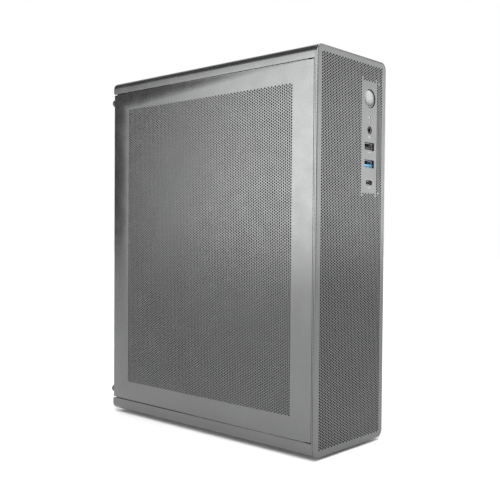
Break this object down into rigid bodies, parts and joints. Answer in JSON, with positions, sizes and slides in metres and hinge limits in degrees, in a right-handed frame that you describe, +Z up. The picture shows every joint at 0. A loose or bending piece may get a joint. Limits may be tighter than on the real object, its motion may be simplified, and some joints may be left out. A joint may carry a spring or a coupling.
{
  "type": "desktop computer tower",
  "caption": "Slim upright desktop computer with a rounded metal case, perforated front and side panels, front sockets and power button, and its board, power supply and fans inside.",
  "frame": {"origin": "on the floor, under the middle of the bounding box, at the bottom of the rubber feet", "axes": "+Z up, front panel facing -Y, sockets at the rear facing +Y, +X to the right as seen from the front"},
  "size_m": [0.103, 0.2936, 0.36],
  "materials": {
    "case_metal": "satin gun-metal grey, fine-textured",
    "chassis_steel": "satin dark grey powder coat",
    "black_steel": "fine-textured black powder coat",
    "black_zinc": "black zinc plate",
    "bright_steel": "bright nickel plate",
    "brass": "turned",
    "copper": "polished copper",
    "fin_aluminium": "rolled, plain",
    "dark_aluminium": "dark anodised",
    "circuit_board": "solder mask over fibreglass",
    "black_plastic": "moulded, fine texture",
    "grey_plastic": "moulded, smooth",
    "light_pipe": "clear moulded",
    "button_metal": "spun satin chrome",
    "rubber": "matt",
    "cable_black": "black sleeve"
  },
  "bodies": {
    "chassis": {"bottom_shell": "case_metal", "top_shell": "case_metal", "rear_panel": "chassis_steel", "front_frame": "case_metal", "stud_sockets": "rubber", "case_screws": "black_zinc", "feet": "rubber", "motherboard_tray": "chassis_steel", "standoffs": "brass", "motherboard": "circuit_board", "board_screws": "bright_steel", "cpu_socket": "bright_steel", "cooler_heatsink": "fin_aluminium", "heat_pipes": "copper", "cpu_fan_frame": "black_plastic", "ram_slots": "black_plastic", "ram_module_1": "circuit_board", "ram_module_2": "circuit_board", "pcie_slot": "black_plastic", "board_heatsinks": "dark_aluminium", "rear_ports": "bright_steel", "io_shield": "bright_steel", "board_connectors": "black_plastic", "slot_covers": "chassis_steel", "psu_case": "black_steel", "psu_fan_frame": "black_plastic", "psu_grille": "bright_steel", "psu_inlet": "black_plastic", "fan_frame_lower": "black_plastic", "fan_frame_upper": "black_plastic", "fan_screws": "black_zinc", "io_bracket": "chassis_steel", "io_board": "circuit_board", "audio_jack": "black_plastic", "usb2_port": "bright_steel", "usb3_port": "bright_steel", "usbc_port": "bright_steel", "led_pipes": "light_pipe", "power_switch": "black_plastic", "ssd": "dark_aluminium", "atx_cable": "cable_black", "cpu_cable": "cable_black", "front_io_cable": "cable_black", "sata_cable": "cable_black"},
    "front_panel": {"front_panel": "case_metal", "panel_studs": "bright_steel"},
    "left_panel": {"left_panel": "case_metal"},
    "right_panel": {"right_panel": "case_metal"},
    "thumb_left_upper": {"thumbscrew_left_upper": "black_zinc"},
    "thumb_left_lower": {"thumbscrew_left_lower": "black_zinc"},
    "thumb_right_upper": {"thumbscrew_right_upper": "black_zinc"},
    "thumb_right_lower": {"thumbscrew_right_lower": "black_zinc"},
    "power_button": {"power_button": "button_metal"},
    "cpu_fan": {"cpu_fan_rotor": "grey_plastic"},
    "front_fan_lower": {"fan_rotor_lower": "grey_plastic"},
    "front_fan_upper": {"fan_rotor_upper": "grey_plastic"},
    "psu_fan": {"psu_fan_rotor": "grey_plastic"},
    "psu_rocker": {"psu_switch": "black_plastic"},
    "latch_1": {"ram_latch_1": "grey_plastic"},
    "latch_2": {"ram_latch_2": "grey_plastic"}
  },
  "joints": [
    {"name": "power_button_press", "type": "slide", "parent": "chassis", "child": "power_button", "axis": [0, 1, 0], "range_m": [0, 0.0015], "stiffness_N_per_m": 900, "springref_m": -0.0012},
    {"name": "front_panel_pull", "type": "slide", "parent": "chassis", "child": "front_panel", "axis": [0, -1, 0], "range_m": [0, 0.012]},
    {"name": "left_panel_slide", "type": "slide", "parent": "chassis", "child": "left_panel", "axis": [0, 1, 0], "range_m": [0, 0.24]},
    {"name": "right_panel_slide", "type": "slide", "parent": "chassis", "child": "right_panel", "axis": [0, 1, 0], "range_m": [0, 0.24]},
    {"name": "thumbscrew_left_upper_out", "type": "slide", "parent": "left_panel", "child": "thumb_left_upper", "axis": [0, 1, 0], "range_m": [0, 0.005]},
    {"name": "thumbscrew_left_lower_out", "type": "slide", "parent": "left_panel", "child": "thumb_left_lower", "axis": [0, 1, 0], "range_m": [0, 0.005]},
    {"name": "thumbscrew_right_upper_out", "type": "slide", "parent": "right_panel", "child": "thumb_right_upper", "axis": [0, 1, 0], "range_m": [0, 0.005]},
    {"name": "thumbscrew_right_lower_out", "type": "slide", "parent": "right_panel", "child": "thumb_right_lower", "axis": [0, 1, 0], "range_m": [0, 0.005]},
    {"name": "cpu_fan_spin", "type": "hinge", "parent": "chassis", "child": "cpu_fan", "pos_m": [-0.0273, 0.06345, 0.269], "axis": [1, 0, 0], "continuous": true},
    {"name": "front_fan_lower_spin", "type": "hinge", "parent": "chassis", "child": "front_fan_lower", "pos_m": [0, -0.13155, 0.0736], "axis": [0, 1, 0], "continuous": true},
    {"name": "front_fan_upper_spin", "type": "hinge", "parent": "chassis", "child": "front_fan_upper", "pos_m": [0, -0.13155, 0.1696], "axis": [0, 1, 0], "continuous": true},
    {"name": "psu_fan_spin", "type": "hinge", "parent": "chassis", "child": "psu_fan", "pos_m": [-0.0123, 0.08015, 0.0731], "axis": [1, 0, 0], "continuous": true},
    {"name": "psu_rocker_tip", "type": "hinge", "parent": "chassis", "child": "psu_rocker", "pos_m": [0.02845, 0.13785, 0.1076], "axis": [1, 0, 0], "range_deg": [-14, 0]},
    {"name": "ram_latch_1_turn", "type": "hinge", "parent": "chassis", "child": "latch_1", "pos_m": [0.0357, -0.00455, 0.3392], "axis": [0, 1, 0], "range_deg": [0, 30]},
    {"name": "ram_latch_2_turn", "type": "hinge", "parent": "chassis", "child": "latch_2", "pos_m": [0.0357, -0.01405, 0.3392], "axis": [0, 1, 0], "range_deg": [0, 30]}
  ]
}
